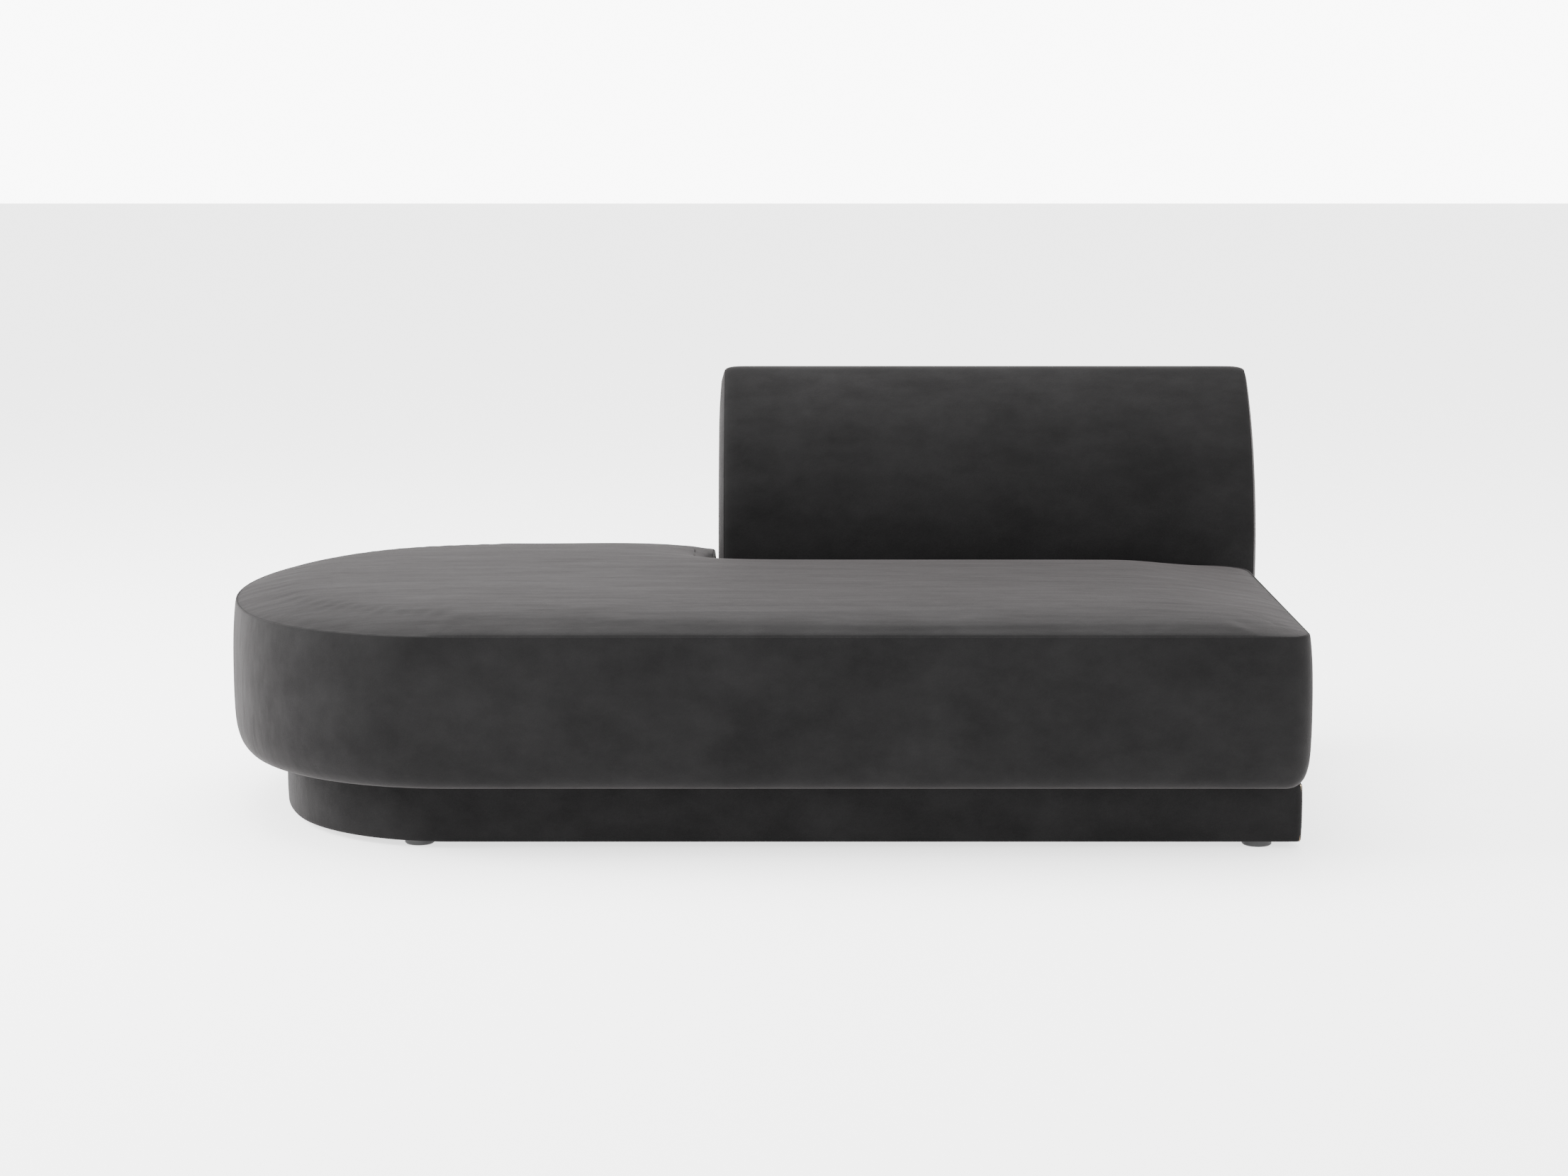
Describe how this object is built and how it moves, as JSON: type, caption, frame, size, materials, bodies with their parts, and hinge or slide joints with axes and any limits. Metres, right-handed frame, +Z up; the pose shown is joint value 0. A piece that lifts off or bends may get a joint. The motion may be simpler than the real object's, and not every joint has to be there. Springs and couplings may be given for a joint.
{
  "type": "daybed",
  "caption": "Round-ended upholstered daybed module: thick seat on a recessed plinth, half-length backrest with a curved top that lifts off, and levelling glides.",
  "frame": {"origin": "centre of the bounding box base, on the floor between the glides", "axes": "+X to the right of someone facing the seat front, towards the straight joining side; the rounded end is at -X; +Y towards the back; +Z up"},
  "size_m": [1.894, 1.03, 0.74],
  "materials": {
    "velvet": "matte",
    "foam": "matte",
    "wadding": "matte",
    "softwood": "matte",
    "plywood": "matte",
    "hardboard": "matte",
    "webbing": "matte",
    "dust_cloth": "matte",
    "zinc_steel": "satin",
    "glide_plastic": "satin"
  },
  "bodies": {
    "base": {"frame_bolts": "zinc_steel", "glide_threaded_inserts": "zinc_steel", "plinth_back_rail": "softwood", "plinth_corner_blocks": "softwood", "plinth_cover": "velvet", "plinth_cross_rails": "softwood", "plinth_dust_cover": "dust_cloth", "plinth_front_rail": "softwood", "plinth_right_rail": "softwood", "plinth_round_end_rail": "plywood", "plinth_top_board": "plywood", "seat_back_rail": "softwood", "seat_bottom_lining": "dust_cloth", "seat_cover_band": "velvet", "seat_cover_top": "velvet", "seat_cross_rails": "softwood", "seat_edge_padding": "foam", "seat_foam_block": "foam", "seat_front_rail": "softwood", "seat_notch_rail": "softwood", "seat_notch_side_rail": "softwood", "seat_right_rail": "softwood", "seat_round_end_rail": "plywood", "seat_topper": "wadding", "seat_webbing_straps": "webbing", "socket_screws": "zinc_steel", "tongue_sockets": "zinc_steel"},
    "backrest": {"back_bottom_rail": "softwood", "back_cover_wrap": "velvet", "back_curved_board": "hardboard", "back_end_panel_left": "velvet", "back_end_panel_right": "velvet", "back_foam": "foam", "back_middle_rail": "softwood", "back_rear_board": "hardboard", "back_ribs": "plywood", "back_tongues": "zinc_steel", "back_top_rail": "softwood", "tongue_bolts": "zinc_steel"},
    "glide_front_left_body": {"glide_front_left": "glide_plastic", "glide_stem_front_left": "zinc_steel"},
    "glide_front_right_body": {"glide_front_right": "glide_plastic", "glide_stem_front_right": "zinc_steel"},
    "glide_rear_left_body": {"glide_rear_left": "glide_plastic", "glide_stem_rear_left": "zinc_steel"},
    "glide_rear_right_body": {"glide_rear_right": "glide_plastic", "glide_stem_rear_right": "zinc_steel"}
  },
  "joints": [
    {"name": "backrest_lift", "type": "slide", "parent": "base", "child": "backrest", "axis": [0, 0, 1], "range_m": [0, 0.06]},
    {"name": "glide_front_left_screw", "type": "slide", "parent": "base", "child": "glide_front_left_body", "axis": [0, 0, -1], "range_m": [0, 0.008]},
    {"name": "glide_front_right_screw", "type": "slide", "parent": "base", "child": "glide_front_right_body", "axis": [0, 0, -1], "range_m": [0, 0.008]},
    {"name": "glide_rear_left_screw", "type": "slide", "parent": "base", "child": "glide_rear_left_body", "axis": [0, 0, -1], "range_m": [0, 0.008]},
    {"name": "glide_rear_right_screw", "type": "slide", "parent": "base", "child": "glide_rear_right_body", "axis": [0, 0, -1], "range_m": [0, 0.008]}
  ]
}
